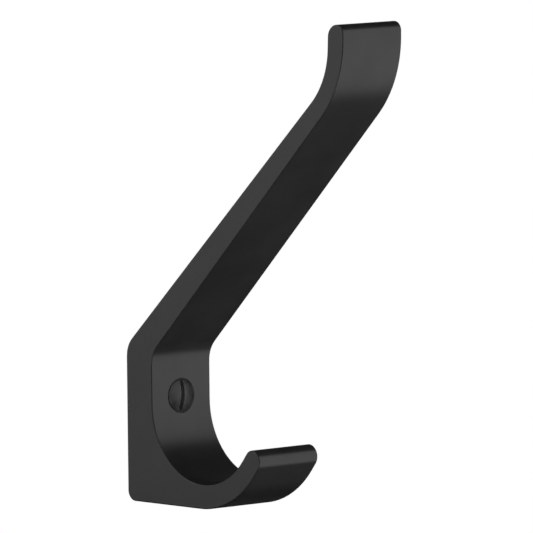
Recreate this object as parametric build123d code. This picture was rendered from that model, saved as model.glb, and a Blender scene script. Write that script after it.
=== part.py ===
"""Hat hook: one cast hook with an upturned tip above and a J-shaped lip below, and its fixing screw.

Millimetres, +Z up. The wall is the plane Y = 0 and the hook stands out from it towards -Y.
X runs across the width. The origin is where the screw's axis meets the back face.
"""

from build123d import *
from math import cos, radians, sin, tan
import os

# Overall size of the hook
WIDTH = 20.0
HEIGHT = 125.5
PROJECTION = 82.9

# Plate that lies against the wall
PLATE_THICKNESS = 9.7
PLATE_BACK_HEIGHT = 40.05
PLATE_FOOT_ROUND = 2.7

# Arm that climbs from the plate to the tip and gets a little thinner on the way
ARM_ROOT_THICKNESS = 8.07
ARM_TAPER_ANGLE = 1.7
BACK_BEND_RADIUS = 6.5
FRONT_BEND_RADIUS = 7.3

# Upturned tip: it rises from the corner where the arm's back side would meet it
TIP_RISE = 14.4
TIP_THICKNESS = 5.6
TIP_TAPER_ANGLE = 2.3
TIP_INNER_BEND_RADIUS = 19.8
TIP_FRONT_STRAIGHT = 1.08
TIP_FRONT_ROUND = 2.3

# Bowl and lip of the lower hook; the lip's two sides are parallel and its end is square to them
BOWL_RADIUS = 19.15
BOWL_FLOOR = 6.25
UNDERSIDE_RADIUS = 26.2
LIP_THICKNESS = 5.76
LIP_LEAN_ANGLE = 38.4
LIP_LENGTH = 5.15
LIP_INNER_ROUND = 2.7

# Flat left between the two rounds at the end of the tip and of the lip
END_FLAT = 0.15

# Light rounding of the cast edges along both sides
EDGE_ROUND = 0.28

# Countersunk screw hole, its axis measured up from the underside
SCREW_HEIGHT = 27.0
HOLE_DIAMETER = 4.6
COUNTERSINK_DIAMETER = 9.1
COUNTERSINK_ANGLE = 90.0

# Slotted screw with a raised countersunk head, whose rim sits a little inside the countersink
HEAD_DIAMETER = 7.9
HEAD_RIM = 0.15
HEAD_RISE = 1.15
HEAD_EDGE_ROUND = 0.08
SEAT_CLEARANCE = 0.05
SLOT_WIDTH = 1.25
SLOT_DEPTH = 1.5
SLOT_TURN_ANGLE = 4.0
SHANK_DIAMETER = 4.2
SHANK_PAST_BACK = 0.5
CORE_DIAMETER = 2.9
SCREW_REACH = 10.0
POINT_LENGTH = 3.6


def leaning(angle):
    """Unit vector in the side view (out from the wall, up) that leans outwards from the vertical."""
    return Vector(sin(radians(angle)), cos(radians(angle)))


def meeting(point_a, direction_a, point_b, direction_b):
    """Point where two lines of the side view cross."""
    gap = point_b - point_a
    turn = direction_a.X * direction_b.Y - direction_a.Y * direction_b.X
    run = (gap.X * direction_b.Y - gap.Y * direction_b.X) / turn
    return point_a + direction_a * run


def fitting_radius(room, turn_angle):
    """Radius of the arc that rounds a corner of this turn and takes this much of each edge."""
    return room / tan(radians(turn_angle / 2))


def hook_outline():
    """Corners of the side view and the radius that rounds each one, from the foot of the back face.

    The first coordinate is the distance out from the wall, the second the height above the underside.
    """
    up = Vector(0, 1)
    out = Vector(1, 0)
    foot = Vector(0, 0)

    # Arm: its back side runs from the plate to the tip, its front side is turned towards that by the taper
    back_bend = Vector(0, PLATE_BACK_HEIGHT)
    tip_back = Vector(PROJECTION - TIP_THICKNESS, HEIGHT)
    inner_bend = tip_back - Vector(tan(radians(TIP_TAPER_ANGLE)), 1) * TIP_RISE
    back_side = (inner_bend - back_bend).normalized()
    front_side = back_side.rotate(Axis.Z, ARM_TAPER_ANGLE)
    below_arm = Vector(back_side.Y, -back_side.X)
    arm_front = back_bend + below_arm * ARM_ROOT_THICKNESS
    plate_front = Vector(PLATE_THICKNESS, 0)
    front_bend = meeting(arm_front, front_side, plate_front, up)

    # Tip: its back round takes the end short of the flat, its outer bend the front short of the straight
    tip_front = Vector(PROJECTION, HEIGHT)
    outer_bend = meeting(arm_front, front_side, tip_front, up)
    tip_back_room = TIP_THICKNESS - TIP_FRONT_ROUND - END_FLAT
    tip_back_round = fitting_radius(tip_back_room, 90 - TIP_TAPER_ANGLE)
    outer_bend_room = HEIGHT - TIP_FRONT_ROUND - TIP_FRONT_STRAIGHT - outer_bend.Y
    outer_bend_radius = fitting_radius(outer_bend_room, front_side.get_angle(up))

    # Lip: its inner side is tangent to the bowl, its outer side is parallel to that
    lip_side = leaning(LIP_LEAN_ANGLE)
    outwards = Vector(lip_side.Y, -lip_side.X)
    bowl_centre = Vector(PLATE_THICKNESS + BOWL_RADIUS, BOWL_FLOOR + BOWL_RADIUS)
    lip_root = bowl_centre + outwards * BOWL_RADIUS
    bowl_corner = meeting(lip_root, lip_side, plate_front, up)
    lip_inner = lip_root + lip_side * LIP_LENGTH
    lip_outer = lip_inner + outwards * LIP_THICKNESS
    lip_outer_round = LIP_THICKNESS - LIP_INNER_ROUND - END_FLAT
    underside_corner = meeting(lip_outer, lip_side, foot, out)

    return [
        (foot, PLATE_FOOT_ROUND),
        (back_bend, BACK_BEND_RADIUS),
        (inner_bend, TIP_INNER_BEND_RADIUS),
        (tip_back, tip_back_round),
        (tip_front, TIP_FRONT_ROUND),
        (outer_bend, outer_bend_radius),
        (front_bend, FRONT_BEND_RADIUS),
        (bowl_corner, BOWL_RADIUS),
        (lip_inner, LIP_INNER_ROUND),
        (lip_outer, lip_outer_round),
        (underside_corner, UNDERSIDE_RADIUS),
    ]


def make_hook():
    """The whole hook: its side view drawn out across the width, edges broken, then the screw hole."""
    outline = hook_outline()
    side_view = Plane(origin=(0, 0, -SCREW_HEIGHT), x_dir=(0, -1, 0), z_dir=(-1, 0, 0))
    plate_face = Plane(origin=(0, -PLATE_THICKNESS, 0), x_dir=(1, 0, 0), z_dir=(0, -1, 0))
    with BuildPart() as hook:
        with BuildSketch(side_view):
            with BuildLine():
                corners = [corner for corner, _ in outline]
                radii = [radius for _, radius in outline]
                FilletPolyline(*corners, radius=radii, close=True)
            make_face()
        extrude(amount=WIDTH / 2, both=True)
        sides = hook.faces().sort_by(Axis.X)
        fillet(sides[0].edges() + sides[-1].edges(), EDGE_ROUND)
        with Locations(plate_face):
            CounterSinkHole(
                radius=HOLE_DIAMETER / 2,
                counter_sink_radius=COUNTERSINK_DIAMETER / 2,
                counter_sink_angle=COUNTERSINK_ANGLE,
            )
    return hook.part


def make_screw():
    """Slotted raised countersunk screw, turned about the Y axis and seated in the countersink."""
    head_radius = HEAD_DIAMETER / 2
    shank_radius = SHANK_DIAMETER / 2
    core_radius = CORE_DIAMETER / 2
    mouth_radius = COUNTERSINK_DIAMETER / 2
    half_angle = radians(COUNTERSINK_ANGLE / 2)

    # Places along Y: the head's cone lies along the countersink's, a small clearance off it
    cone_mouth = -PLATE_THICKNESS - SEAT_CLEARANCE / sin(half_angle)
    rim_foot = cone_mouth + (mouth_radius - head_radius) / tan(half_angle)
    neck = cone_mouth + (mouth_radius - shank_radius) / tan(half_angle)
    rim_top = rim_foot - HEAD_RIM
    crown = rim_top - HEAD_RISE
    slot_line = (sin(radians(SLOT_TURN_ANGLE)), 0, cos(radians(SLOT_TURN_ANGLE)))

    with BuildPart() as screw:
        with BuildSketch(Plane.XY):
            with BuildLine():
                TangentArc((0, crown), (head_radius, rim_top), tangent=(1, 0))
                Polyline(
                    (head_radius, rim_top),
                    (head_radius, rim_foot),
                    (shank_radius, neck),
                    (shank_radius, SHANK_PAST_BACK),
                    (core_radius, SHANK_PAST_BACK),
                    (core_radius, SCREW_REACH - POINT_LENGTH),
                    (0, SCREW_REACH),
                    (0, crown),
                )
            make_face()
        revolve(axis=Axis.Y)
        rim = screw.edges().filter_by(GeomType.CIRCLE).filter_by_position(Axis.Y, rim_top, rim_top)
        fillet(rim, HEAD_EDGE_ROUND)
        with Locations(Plane(origin=(0, crown, 0), x_dir=slot_line, z_dir=(0, -1, 0))):
            Box(HEAD_DIAMETER * 2, SLOT_WIDTH, SLOT_DEPTH * 2, mode=Mode.SUBTRACT)
    return screw.part


if __name__ == "__main__":
    os.makedirs("parts", exist_ok=True)
    export_step(make_hook(), "parts/hook.step")
    export_step(make_screw(), "parts/screw.step")
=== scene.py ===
# %% [markdown]
# # A cast hat hook
# The real object is one casting: a plate that lies against the wall, an arm that climbs to an upturned tip
# for hats, and below it a bowl and a lip for coats. One slotted screw holds it.
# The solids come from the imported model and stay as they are. This script adds what a solid can't have:
# the finishes, the screw's thread, the light, the floor and the camera.

# %% Load the fixed frame
from math import cos, pi, radians, sin

import bpy
import numpy as np
from mathutils import Matrix, Vector


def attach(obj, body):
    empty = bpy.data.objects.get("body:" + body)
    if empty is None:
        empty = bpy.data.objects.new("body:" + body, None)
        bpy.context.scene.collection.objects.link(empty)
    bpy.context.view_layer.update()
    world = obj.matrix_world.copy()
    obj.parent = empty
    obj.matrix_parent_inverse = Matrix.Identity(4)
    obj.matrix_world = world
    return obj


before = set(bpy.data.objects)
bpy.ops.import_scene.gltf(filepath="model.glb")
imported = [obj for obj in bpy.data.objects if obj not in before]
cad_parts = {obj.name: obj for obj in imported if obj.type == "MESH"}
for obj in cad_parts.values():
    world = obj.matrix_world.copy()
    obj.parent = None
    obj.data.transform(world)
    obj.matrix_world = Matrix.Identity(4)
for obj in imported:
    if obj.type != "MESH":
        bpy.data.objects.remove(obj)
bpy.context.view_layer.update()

MM = 0.001
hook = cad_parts["hook"]
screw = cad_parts["screw"]

# %% [markdown]
# ## Camera
# A long lens far away flattens the perspective, as product pictures do. The direction, distance and roll
# were worked out from the outline of the hook in the picture. The camera looks at a point inside the
# hook from its front left and a little from above.

# %% Camera
CAMERA_AZIMUTH = radians(-42.2807)
CAMERA_ELEVATION = radians(5.2029)
CAMERA_ROLL = radians(-0.6013)
CAMERA_DISTANCE = 2177.79 * MM
CAMERA_TARGET = Vector((0, -42.767, 35.179)) * MM
SENSOR_WIDTH = 36.0
PICTURE_WIDTH = 533
FOCAL_PIXELS = 8597.83


def towards(azimuth, elevation):
    """Unit vector (sin a cos e, -cos a cos e, sin e), angles in radians.

    Azimuth a is 0 in front of the wall and 90 degrees to the hook's right, e is the elevation.
    """
    return Vector((sin(azimuth) * cos(elevation), -cos(azimuth) * cos(elevation), sin(elevation)))


def camera_axes(azimuth, elevation, roll):
    """Right, up and back of a camera that looks along -back.

    Right is the cross product of the line of sight and +Z, up that of right and the line of sight, and both
    turn by the roll.
    """
    back = towards(azimuth, elevation)
    right = (-back).cross(Vector((0, 0, 1))).normalized()
    up = right.cross(-back)
    return right * cos(roll) + up * sin(roll), up * cos(roll) - right * sin(roll), back


right, up, back = camera_axes(CAMERA_AZIMUTH, CAMERA_ELEVATION, CAMERA_ROLL)
camera_data = bpy.data.cameras.new("camera")
camera_data.sensor_width = SENSOR_WIDTH
camera_data.lens = FOCAL_PIXELS * SENSOR_WIDTH / PICTURE_WIDTH
camera = bpy.data.objects.new("camera", camera_data)
camera.matrix_world = Matrix.Translation(CAMERA_TARGET + back * CAMERA_DISTANCE) @ Matrix(
    (right, up, back)).transposed().to_4x4()
bpy.context.collection.objects.link(camera)
bpy.context.scene.camera = camera
bpy.context.scene.view_settings.view_transform = "Standard"
camera_place = [round(c, 3) for c in camera.matrix_world.translation]
print("lens, mm:", round(camera_data.lens, 1), "from", camera_place)

# %% [markdown]
# ## Two helpers for the finishes
# Colours are written as on a paint card, in sRGB, and the renderer counts in linear light, so one function
# turns the one into the other. A second one adds a node to a tree with its settings and links.


# %% Colours and nodes
def linear(hex_colour):
    """Linear RGBA of an sRGB hex colour: each channel c becomes ((c + 0.055) / 1.055) ** 2.4."""
    channels = [int(hex_colour[i:i + 2], 16) / 255 for i in (1, 3, 5)]
    return [c / 12.92 if c <= 0.04045 else ((c + 0.055) / 1.055) ** 2.4 for c in channels] + [1.0]


def add(tree, kind, values=None, links=None, **settings):
    """Adds a node: values go to its inputs, links join other nodes' outputs to its inputs."""
    node = tree.nodes.new(kind)
    for name, value in settings.items():
        setattr(node, name, value)
    for socket, value in (values or {}).items():
        node.inputs[socket].default_value = value
    for socket, source in (links or {}).items():
        tree.links.new(source, node.inputs[socket])
    return node


print("black coat, linear:", [round(c, 4) for c in linear("#1b1c1d")])

# %% [markdown]
# ## Dark cards
# The coat mirrors the white background, yet in the picture the arm's underside, the bowl and the bottom of
# the lip are nearly black. A studio gets that with cards of black or grey felt, held outside the picture
# where the gloss would find white. They are seen in reflections only: the camera looks past them and they
# throw no shadow. Grey felt stands on the right, over and behind the hook, so that it doesn't look like a
# mere shadow from those sides.


# %% Felt, and a card
def felt(name, colour):
    """Matt felt of one colour."""
    material = bpy.data.materials.new(name)
    material.use_nodes = True
    tree = material.node_tree
    tree.nodes.clear()
    nap = add(tree, "ShaderNodeBsdfDiffuse", {"Color": linear(colour)})
    add(tree, "ShaderNodeOutputMaterial", links={"Surface": nap.outputs[0]})
    return material


def card(name, finish, azimuth, elevation, distance, width, height, target):
    """A flat rectangle that faces the target: its middle, plus or minus half its width and height.

    Azimuth and elevation are in degrees as seen from the target, lengths in metres.
    """
    out = towards(radians(azimuth), radians(elevation))
    turn = np.array(out.to_track_quat("Z", "Y").to_matrix())
    corners = np.array([[-1, -1, 0], [1, -1, 0], [1, 1, 0], [-1, 1, 0]]) * [width / 2, height / 2, 0]
    mesh = bpy.data.meshes.new(name)
    mesh.from_pydata((corners @ turn.T + np.array(target + out * distance)).tolist(), [], [[3, 2, 1, 0]])
    mesh.materials.append(finish)
    sheet = bpy.data.objects.new(name, mesh)
    bpy.context.collection.objects.link(sheet)
    sheet.visible_camera = False
    sheet.visible_diffuse = False
    sheet.visible_shadow = False
    return sheet


hook_middle = Vector((0, -40, 36)) * MM
black_felt = felt("black_felt", "#0e0e0e")
grey_felt = felt("grey_felt", "#7e7e7e")
# Name, felt, azimuth, elevation, distance, width, height and what it faces
cards = [
    card("card_right", grey_felt, 115, 2, 0.6, 1.3, 1.7, hook_middle),
    card("card_under", black_felt, 70, -62, 0.62, 1.4, 0.9, hook_middle),
    card("card_over", grey_felt, 60, 72, 0.62, 1.5, 0.9, hook_middle),
    card("card_low_left", black_felt, -145, -44, 0.5, 1.0, 0.5, hook_middle),
    card("card_back", grey_felt, -162, 2, 0.6, 0.3, 1.0, hook_middle),
    card("card_camera", black_felt, -58, 5, 0.6, 1.3, 0.54, hook_middle),
]
print("cards:", [sheet.name for sheet in cards])

# %% [markdown]
# ## Light
# A satin black coat has little colour of its own: what the eye sees is the reflection of the lamps, spread
# by the fine texture. So each lamp stands where one face mirrors it to the camera. A broad lamp at the
# front right lights the plate, the tip's front and the lip. A second one at the back left lights the long
# left side, from so near that the side fades a little towards its foot. A small dim reflector low at the
# right lifts the arm's underside a little above black. A softbox has a black back, so each one carries a
# card behind it.


# %% Lamps
BACK_GAP = 10 * MM


def softbox(name, azimuth, elevation, distance, width, height, radiance, target):
    """A rectangular lamp that faces the target: its power is radiance times pi times its area.

    Azimuth and elevation are in degrees as seen from the target, lengths in metres. A radiance of 1 is as
    bright as the white background.
    """
    out = towards(radians(azimuth), radians(elevation))
    data = bpy.data.lights.new(name, "AREA")
    data.shape = "RECTANGLE"
    data.size = width
    data.size_y = height
    data.energy = radiance * pi * width * height
    lamp = bpy.data.objects.new(name, data)
    lamp.location = target + out * distance
    lamp.rotation_mode = "QUATERNION"
    lamp.rotation_quaternion = out.to_track_quat("Z", "Y")
    lamp.visible_camera = False
    bpy.context.collection.objects.link(lamp)
    card(name + "_back", black_felt, azimuth, elevation, distance + BACK_GAP, width, height, target)
    return lamp


# Name, azimuth, elevation, distance, width, height, radiance and what it faces
key = softbox("softbox_front_right", 24, -4, 0.45, 0.86, 0.84, 1.20, hook_middle)
side = softbox("softbox_back_left", -125, 14, 0.5, 0.50, 0.44, 1.03, hook_middle)
low = softbox("reflector_low_right", 82, -52, 0.5, 0.30, 0.30, 0.15, hook_middle)
print("lamps, W:", [round(lamp.data.energy, 3) for lamp in (key, side, low)])

# %% [markdown]
# ## World
# The picture has a clean white background. A ray from the camera finds that white, and so does a mirrored
# or refracted ray, so that gloss shows the same background. Only the light that the room throws on matt
# surfaces is dimmer, so that the lamps shape the hook.

# %% World
ROOM_GREY = linear("#444446")
world = bpy.data.worlds.new("pale_room")
bpy.context.scene.world = world
world.use_nodes = True


def seen_directly(tree):
    """1 for a camera, mirrored or refracted ray and 0 for the others: the largest of three ray flags."""
    path = add(tree, "ShaderNodeLightPath")
    either = add(tree, "ShaderNodeMath", links={0: path.outputs["Is Camera Ray"],
                                                1: path.outputs["Is Glossy Ray"]}, operation="MAXIMUM")
    return add(tree, "ShaderNodeMath", links={0: either.outputs[0],
                                              1: path.outputs["Is Transmission Ray"]}, operation="MAXIMUM")


tree = world.node_tree
tree.nodes.clear()
seen = seen_directly(tree)
room = add(tree, "ShaderNodeBackground", {"Color": ROOM_GREY, "Strength": 1.0})
backdrop = add(tree, "ShaderNodeBackground", {"Color": linear("#ffffff"), "Strength": 1.0})
sky = add(tree, "ShaderNodeMixShader", links={0: seen.outputs[0], 1: room.outputs[0],
                                              2: backdrop.outputs[0]})
add(tree, "ShaderNodeOutputWorld", links={"Surface": sky.outputs[0]})
print("room grey, linear:", round(ROOM_GREY[0], 4))

# %% [markdown]
# ## Floor
# The hook hangs on a wall, so the floor lies nearly a metre below it. It is a flat round surface: under the
# hook it is pale and takes the shadow, and further out it turns into the white of the background, so no
# edge shows.

# %% Floor
FLOOR_HEIGHT = -900 * MM
FLOOR_RADIUS = 3.0
FLOOR_SEGMENTS = 96
PALE_WITHIN = 0.25
WHITE_BEYOND = 0.55


def disc(radius, height, segments):
    """Points (r cos t, r sin t, height) for r from 0 to the radius, as one fan about the middle."""
    t = np.linspace(0, 2 * pi, segments, endpoint=False)
    rim = np.stack([radius * np.cos(t), radius * np.sin(t), np.full(segments, height)], axis=1)
    points = np.vstack([[[0, 0, height]], rim])
    first = np.arange(segments) + 1
    faces = np.stack([np.zeros(segments, int), first, np.roll(first, -1)], axis=1)
    return points, faces


points, faces = disc(FLOOR_RADIUS, FLOOR_HEIGHT, FLOOR_SEGMENTS)
floor_mesh = bpy.data.meshes.new("floor")
floor_mesh.from_pydata(points.tolist(), [], faces.tolist())
floor = bpy.data.objects.new("floor", floor_mesh)
bpy.context.collection.objects.link(floor)

paint = bpy.data.materials.new("matt_white_floor")
paint.use_nodes = True
tree = paint.node_tree
tree.nodes.clear()
seen = seen_directly(tree)
place = add(tree, "ShaderNodeTexCoord")
# Distance from the middle, measured along the floor
along_floor = add(tree, "ShaderNodeVectorMath", {1: (1.0, 1.0, 0.0)}, {0: place.outputs["Object"]},
                  operation="MULTIPLY")
distance = add(tree, "ShaderNodeVectorMath", links={0: along_floor.outputs[0]}, operation="LENGTH")
far = add(tree, "ShaderNodeMapRange", {"From Min": PALE_WITHIN, "From Max": WHITE_BEYOND},
          {"Value": distance.outputs["Value"]}, interpolation_type="SMOOTHSTEP")
seen_far = add(tree, "ShaderNodeMath", links={0: far.outputs["Result"], 1: seen.outputs[0]},
               operation="MULTIPLY")
# Near the middle the paint takes the shadow, and an even lift brings it close to the background
matt = add(tree, "ShaderNodeBsdfDiffuse", {"Color": linear("#c8c8c8")})
lift = add(tree, "ShaderNodeEmission", {"Color": linear("#d4d4d4")}, {"Strength": seen.outputs[0]})
near = add(tree, "ShaderNodeAddShader", links={0: matt.outputs[0], 1: lift.outputs[0]})
white = add(tree, "ShaderNodeEmission", {"Color": linear("#ffffff"), "Strength": 1.0})
blend = add(tree, "ShaderNodeMixShader", links={0: seen_far.outputs[0], 1: near.outputs[0],
                                                2: white.outputs[0]})
add(tree, "ShaderNodeOutputMaterial", links={"Surface": blend.outputs[0]})
floor_mesh.materials.append(paint)
print("floor faces:", len(faces))

# %% [markdown]
# ## The hook's coat
# The casting is powder coated: a black powder melts into a skin about 0.08 mm thick. It is satin, with a
# faint orange peel a millimetre or two across and a much finer grain. Powder draws back a little from
# edges, so there the skin is thinner and a touch smoother. The countersink is painted a lighter grey and
# made a little rougher: a painted highlight, for the light its wall catches from the camera's side. All of
# this is noise and masks in real millimetres. Only the grain is drawn coarser than it is: the real one,
# under a tenth of a millimetre, is too fine to show.

# %% Satin black powder coat
COAT_DARK = linear("#1b1c1d")
COAT_LIGHT = linear("#262728")
CLOUD_WAVE = 14.0 * MM
PEEL_WAVE = 1.6 * MM
PEEL_DEPTH = 0.02 * MM
GRAIN_WAVE = 0.22 * MM
GRAIN_DEPTH = 0.01 * MM
HALF_WIDTH = 10.0 * MM
EDGE_BAND = 0.45 * MM
EDGE_ROUGHNESS_CHANGE = -0.05
COUNTERSINK_REACH = 4.6 * MM
COUNTERSINK_MIDDLE = -8.4 * MM
COUNTERSINK_HALF_DEPTH = 1.29 * MM
# Painted highlight: a lighter grey for the countersink, standing in for the light its wall catches
COAT_PAINTED_HIGHLIGHT = linear("#3b3c3d")
COUNTERSINK_ROUGHNESS_CHANGE = 0.12

coat = bpy.data.materials.new("satin_black_powder_coat")
coat.use_nodes = True
tree = coat.node_tree
tree.nodes.clear()
place = add(tree, "ShaderNodeTexCoord")
cloud = add(tree, "ShaderNodeTexNoise", {"Scale": 1 / CLOUD_WAVE, "Detail": 3.0, "Roughness": 0.5},
            {"Vector": place.outputs["Object"]})
peel = add(tree, "ShaderNodeTexNoise", {"Scale": 1 / PEEL_WAVE, "Detail": 2.0, "Roughness": 0.45},
           {"Vector": place.outputs["Object"]})
grain = add(tree, "ShaderNodeTexNoise", {"Scale": 1 / GRAIN_WAVE, "Detail": 2.0, "Roughness": 0.6},
            {"Vector": place.outputs["Object"]})

# Edge mask: within the band at either side, where the normal is neither along X nor square to it
axes = add(tree, "ShaderNodeSeparateXYZ", links={"Vector": place.outputs["Object"]})
across = add(tree, "ShaderNodeMath", links={0: axes.outputs["X"]}, operation="ABSOLUTE")
in_band = add(tree, "ShaderNodeMapRange", {"From Min": HALF_WIDTH - EDGE_BAND, "From Max": HALF_WIDTH},
              {"Value": across.outputs[0]})
facing = add(tree, "ShaderNodeSeparateXYZ", links={"Vector": place.outputs["Normal"]})
sideways = add(tree, "ShaderNodeMath", links={0: facing.outputs["X"]}, operation="ABSOLUTE")
turning = add(tree, "ShaderNodeMapRange", {"From Min": 1.0, "From Max": 0.7},
              {"Value": sideways.outputs[0]})
edge = add(tree, "ShaderNodeMath", links={0: in_band.outputs["Result"], 1: turning.outputs["Result"]},
           operation="MULTIPLY")

# Noise stays near 0.5, so each range here stretches its middle
tone = add(tree, "ShaderNodeMapRange", {"From Min": 0.35, "From Max": 0.65},
           {"Value": cloud.outputs["Fac"]})
body_colour = add(tree, "ShaderNodeMix", {6: COAT_DARK, 7: COAT_LIGHT},
                  {0: tone.outputs["Result"]}, data_type="RGBA")
rough = add(tree, "ShaderNodeMapRange", {"From Min": 0.3, "From Max": 0.7, "To Min": 0.31, "To Max": 0.37},
            {"Value": grain.outputs["Fac"]})
edge_rough = add(tree, "ShaderNodeMath", {1: EDGE_ROUGHNESS_CHANGE},
                 {0: edge.outputs[0], 2: rough.outputs["Result"]}, operation="MULTIPLY_ADD")
peel_bump = add(tree, "ShaderNodeBump", {"Strength": 0.25, "Distance": PEEL_DEPTH},
                {"Height": peel.outputs["Fac"]})
grain_bump = add(tree, "ShaderNodeBump", {"Strength": 0.35, "Distance": GRAIN_DEPTH},
                 {"Height": grain.outputs["Fac"], "Normal": peel_bump.outputs["Normal"]})

# Painted highlight mask: the countersink, within its radius of the screw's axis and between its mouth and
# its neck.
# There the coat is painted a lighter grey and made a little rougher.
flat_place = add(tree, "ShaderNodeCombineXYZ", links={"X": axes.outputs["X"], "Y": axes.outputs["Z"]})
from_axis = add(tree, "ShaderNodeVectorMath", links={0: flat_place.outputs[0]}, operation="LENGTH")
in_reach = add(tree, "ShaderNodeMath", {1: COUNTERSINK_REACH}, {0: from_axis.outputs["Value"]},
               operation="LESS_THAN")
in_depth = add(tree, "ShaderNodeMath", {1: COUNTERSINK_MIDDLE, 2: COUNTERSINK_HALF_DEPTH},
               {0: axes.outputs["Y"]}, operation="COMPARE")
countersink_painted_highlight = add(tree, "ShaderNodeMath", links={0: in_reach.outputs[0], 1: in_depth.outputs[0]},
             operation="MULTIPLY")
# Painted highlight: inside the countersink the coat turns the lighter grey
coat_colour = add(tree, "ShaderNodeMix", {7: COAT_PAINTED_HIGHLIGHT},
                  {0: countersink_painted_highlight.outputs[0], 6: body_colour.outputs[2]}, data_type="RGBA")
coat_rough = add(tree, "ShaderNodeMath", {1: COUNTERSINK_ROUGHNESS_CHANGE},
                 {0: countersink_painted_highlight.outputs[0], 2: edge_rough.outputs[0]}, operation="MULTIPLY_ADD")
skin = add(tree, "ShaderNodeBsdfPrincipled", {"IOR": 1.5, "Metallic": 0.0},
           {"Base Color": coat_colour.outputs[2], "Roughness": coat_rough.outputs[0],
            "Normal": grain_bump.outputs["Normal"]})
add(tree, "ShaderNodeOutputMaterial", links={"Surface": skin.outputs[0]})
hook.data.materials.clear()
hook.data.materials.append(coat)
print("coat nodes:", len(tree.nodes))

# %% [markdown]
# ## The screw's finish
# The screw is turned steel with a thin black lacquer. The lathe leaves fine rings about the screw's axis,
# drawn here about three times as wide as real ones, which are too fine to show. The lacquer over them has
# worn a little grey. The driver's blade has rubbed it off the slot's walls and along their edges, so bare
# dull steel shows there, while the slot's floor keeps its black. A mask finds the walls: the distance from
# the slot's middle plane, made ragged by noise, in front of the walls' foot.

# %% Black lacquered steel
LACQUER_DARK = linear("#28292a")
LACQUER_LIGHT = linear("#38393b")
STEEL = linear("#b8babc")
RING_SPACING = 0.28 * MM
RING_DEPTH = 0.01 * MM
PATCH_WAVE = 1.1 * MM
FLECK_WAVE = 0.3 * MM
SLOT_TURN = radians(4.0)
SLOT_EDGE = 0.6 * MM
WORN_OUT_TO = 0.66 * MM
RAGGED_BY = 0.16 * MM
WALL_FOOT = -9.0 * MM
BARE_METALLIC = 0.8

lacquer = bpy.data.materials.new("black_lacquered_steel")
lacquer.use_nodes = True
tree = lacquer.node_tree
tree.nodes.clear()
place = add(tree, "ShaderNodeTexCoord")
axes = add(tree, "ShaderNodeSeparateXYZ", links={"Vector": place.outputs["Object"]})
flat_place = add(tree, "ShaderNodeCombineXYZ", links={"X": axes.outputs["X"], "Y": axes.outputs["Z"]})
from_axis = add(tree, "ShaderNodeVectorMath", links={0: flat_place.outputs[0]}, operation="LENGTH")
phase = add(tree, "ShaderNodeMath", {1: 2 * pi / RING_SPACING}, {0: from_axis.outputs["Value"]},
            operation="MULTIPLY")
rings = add(tree, "ShaderNodeMath", links={0: phase.outputs[0]}, operation="SINE")
patches = add(tree, "ShaderNodeTexNoise", {"Scale": 1 / PATCH_WAVE, "Detail": 3.0},
              {"Vector": place.outputs["Object"]})
flecks = add(tree, "ShaderNodeTexNoise", {"Scale": 1 / FLECK_WAVE, "Detail": 2.0},
             {"Vector": place.outputs["Object"]})

# Worn mask: near the slot's middle plane, with a ragged edge, and in front of the walls' foot
from_slot = add(tree, "ShaderNodeVectorMath", {1: (cos(SLOT_TURN), 0.0, -sin(SLOT_TURN))},
                {0: place.outputs["Object"]}, operation="DOT_PRODUCT")
off_middle = add(tree, "ShaderNodeMath", links={0: from_slot.outputs["Value"]}, operation="ABSOLUTE")
ragged = add(tree, "ShaderNodeMath", {1: RAGGED_BY}, {0: flecks.outputs["Fac"], 2: off_middle.outputs[0]},
             operation="MULTIPLY_ADD")
near_slot = add(tree, "ShaderNodeMapRange", {"From Min": WORN_OUT_TO + RAGGED_BY / 2,
                                             "From Max": SLOT_EDGE + RAGGED_BY / 2},
                {"Value": ragged.outputs[0]})
on_front = add(tree, "ShaderNodeMath", {1: WALL_FOOT}, {0: axes.outputs["Y"]}, operation="LESS_THAN")
worn = add(tree, "ShaderNodeMath", links={0: near_slot.outputs["Result"], 1: on_front.outputs[0]},
           operation="MULTIPLY")

tone = add(tree, "ShaderNodeMapRange", {"From Min": 0.35, "From Max": 0.65},
           {"Value": patches.outputs["Fac"]})
film_colour = add(tree, "ShaderNodeMix", {6: LACQUER_DARK, 7: LACQUER_LIGHT}, {0: tone.outputs["Result"]},
                  data_type="RGBA")
colour = add(tree, "ShaderNodeMix", {7: STEEL}, {0: worn.outputs[0], 6: film_colour.outputs[2]},
             data_type="RGBA")
metal = add(tree, "ShaderNodeMath", {1: BARE_METALLIC}, {0: worn.outputs[0]}, operation="MULTIPLY")
rough = add(tree, "ShaderNodeMapRange", {"From Min": 0.3, "From Max": 0.7, "To Min": 0.40, "To Max": 0.48},
            {"Value": flecks.outputs["Fac"]})
ring_bump = add(tree, "ShaderNodeBump", {"Strength": 0.3, "Distance": RING_DEPTH},
                {"Height": rings.outputs[0]})
film = add(tree, "ShaderNodeBsdfPrincipled", {"IOR": 1.5},
           {"Base Color": colour.outputs[2], "Metallic": metal.outputs[0],
            "Roughness": rough.outputs["Result"], "Normal": ring_bump.outputs["Normal"]})
add(tree, "ShaderNodeOutputMaterial", links={"Surface": film.outputs[0]})
screw.data.materials.clear()
screw.data.materials.append(lacquer)
print("lacquer nodes:", len(tree.nodes))

# %% [markdown]
# ## The screw's thread
# Behind the plate the solid is a plain core with a point. The real one has a sharp ridge that winds round
# it, as wide as the shank, and fades out at both ends. It could be cut with a screw modifier, but a ridge
# that must follow a cone is easier as a surface: its section is a low triangle, carried along a helix.

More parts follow.
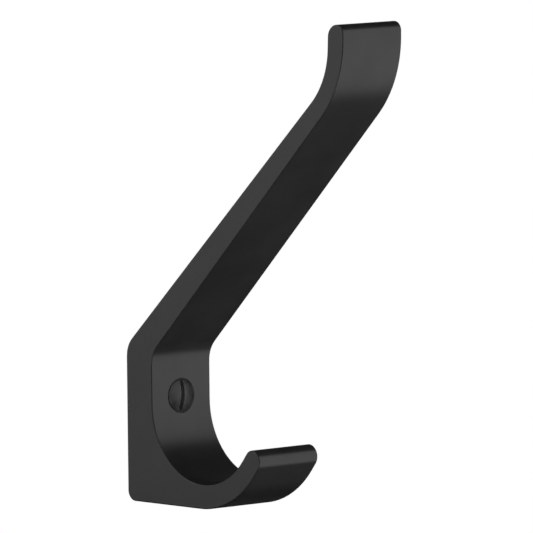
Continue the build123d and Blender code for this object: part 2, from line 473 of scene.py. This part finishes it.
# %% Thread
CORE_RADIUS = 1.45 * MM
CREST_RADIUS = 2.1 * MM
THREAD_START = 0.35 * MM
CONE_START = 6.4 * MM
POINT_END = 10.0 * MM
THREAD_END = 9.75 * MM
PITCH = 1.8 * MM
RIDGE_BASE = 0.55 * MM
CREST_WIDTH = 0.06 * MM
SUNK = 0.12 * MM
HEIGHT_AT_POINT = 0.35
BASE_AT_POINT = 0.6
BASE_AT_ENDS = 0.5
STEPS_PER_TURN = 48


def core_radius(y):
    """Radius of the core at y: constant on the cylinder, then falling in a straight line to the point."""
    return CORE_RADIUS * np.clip((POINT_END - y) / (POINT_END - CONE_START), 0, 1)


def ridge(start, end, pitch, per_turn):
    """Rings of a ridge on a helix: y = start + pitch * angle / 2 pi, section a low triangle on the core.

    The ridge grows over the first half turn and fades over the last, by 3 f squared - 2 f cubed. It gets
    lower and narrower with the cone, in a straight line, and its foot is sunk into the core.
    """
    steps = int(round((end - start) / pitch * per_turn)) + 1
    angle = np.linspace(0, 2 * pi * (end - start) / pitch, steps)
    y = start + pitch * angle / (2 * pi)
    core = core_radius(y)
    thick = core / CORE_RADIUS
    fade = np.clip(angle / pi, 0, 1) * np.clip((angle[-1] - angle) / pi, 0, 1)
    fade = fade * fade * (3 - 2 * fade)
    height = (CREST_RADIUS - CORE_RADIUS) * fade * (HEIGHT_AT_POINT + (1 - HEIGHT_AT_POINT) * thick)
    half_base = RIDGE_BASE * (BASE_AT_ENDS + (1 - BASE_AT_ENDS) * fade)
    half_base = half_base * (BASE_AT_POINT + (1 - BASE_AT_POINT) * thick)
    side_steps = np.array([-1.0, -CREST_WIDTH / RIDGE_BASE, CREST_WIDTH / RIDGE_BASE, 1.0])
    up_steps = np.array([0.0, 1.0, 1.0, 0.0])
    sunk = np.minimum(SUNK, core * 0.5)
    radial = core[:, None] + height[:, None] * up_steps - (up_steps == 0) * sunk[:, None]
    along = y[:, None] + half_base[:, None] * side_steps
    return np.stack([radial * np.cos(angle)[:, None], along, radial * np.sin(angle)[:, None]], axis=2)


def closed_tube(name, rings):
    """Mesh of a tube: each ring's points are joined to the next ring's, with a flat cap at each end."""
    count, around = rings.shape[:2]
    index = np.arange(count * around).reshape(count, around)
    beside = np.roll(index, -1, axis=1)
    sides = np.stack([index[:-1], index[1:], beside[1:], beside[:-1]], axis=-1).reshape(-1, 4)
    caps = [index[0].tolist(), index[-1][::-1].tolist()]
    mesh = bpy.data.meshes.new(name)
    mesh.from_pydata(rings.reshape(-1, 3).tolist(), [], sides.tolist() + caps)
    mesh.validate()
    return mesh


thread_mesh = closed_tube("screw_thread", ridge(THREAD_START, THREAD_END, PITCH, STEPS_PER_TURN))
thread_mesh.materials.append(lacquer)
thread = bpy.data.objects.new("screw_thread", thread_mesh)
bpy.context.collection.objects.link(thread)
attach(thread, "root")
volume = sum(p.center.dot(p.normal) * p.area for p in thread_mesh.polygons) / 3
print("thread faces:", len(thread_mesh.polygons), "volume, mm3:", round(volume / MM ** 3, 2))
